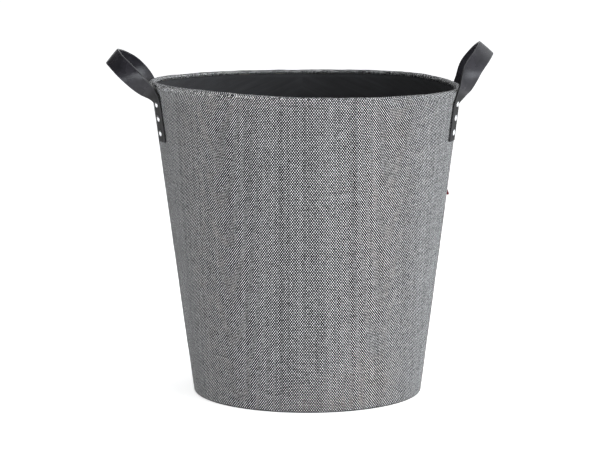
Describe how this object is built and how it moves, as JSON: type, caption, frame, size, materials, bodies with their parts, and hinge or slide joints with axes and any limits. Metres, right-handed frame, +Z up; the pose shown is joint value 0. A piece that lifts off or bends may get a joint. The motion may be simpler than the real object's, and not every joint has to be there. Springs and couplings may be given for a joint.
{
  "type": "fabric storage bin",
  "caption": "Round tapered storage bin in black and white woven fabric, with a black lining and riveted leather strap handles.",
  "frame": {"origin": "centre of the base, on the surface that the bin stands on", "axes": "+Z up, -Y towards the front, the handles on -X and +X"},
  "size_m": [0.4719, 0.38, 0.4314],
  "materials": {
    "tweed": "coarse black and white weave",
    "lining": "plain black woven",
    "board": "plain grey-brown board",
    "leather": "smooth black, soft shine",
    "metal": "bright silver",
    "tab": "dark red woven"
  },
  "bodies": {
    "bin": {"outer_sleeve": "tweed", "wall_board": "board", "wall_lining": "lining", "base_board": "board", "base_lining": "lining", "base_cover": "lining", "side_tab": "tab", "left_handle_front_leg": "leather", "left_handle_back_leg": "leather", "right_handle_front_leg": "leather", "right_handle_back_leg": "leather", "left_handle_front_leg_rivet_1": "metal", "left_handle_front_leg_rivet_2": "metal", "left_handle_front_leg_rivet_3": "metal", "left_handle_back_leg_rivet_1": "metal", "left_handle_back_leg_rivet_2": "metal", "left_handle_back_leg_rivet_3": "metal", "right_handle_front_leg_rivet_1": "metal", "right_handle_front_leg_rivet_2": "metal", "right_handle_front_leg_rivet_3": "metal", "right_handle_back_leg_rivet_1": "metal", "right_handle_back_leg_rivet_2": "metal", "right_handle_back_leg_rivet_3": "metal", "left_handle_front_leg_burr_1": "metal", "left_handle_front_leg_burr_2": "metal", "left_handle_front_leg_burr_3": "metal", "left_handle_back_leg_burr_1": "metal", "left_handle_back_leg_burr_2": "metal", "left_handle_back_leg_burr_3": "metal", "right_handle_front_leg_burr_1": "metal", "right_handle_front_leg_burr_2": "metal", "right_handle_front_leg_burr_3": "metal", "right_handle_back_leg_burr_1": "metal", "right_handle_back_leg_burr_2": "metal", "right_handle_back_leg_burr_3": "metal"},
    "left_handle": {"left_handle_loop": "leather"},
    "right_handle": {"right_handle_loop": "leather"}
  },
  "joints": [
    {"name": "left_handle_hinge", "type": "hinge", "parent": "bin", "child": "left_handle", "pos_m": [-0.18782, -0.0082, 0.3685], "axis": [-0.0436, 0.999, 0], "range_deg": [-104, 27]},
    {"name": "right_handle_hinge", "type": "hinge", "parent": "bin", "child": "right_handle", "pos_m": [0.18782, -0.0082, 0.3685], "axis": [-0.0436, -0.999, 0], "range_deg": [-118, 12]}
  ]
}
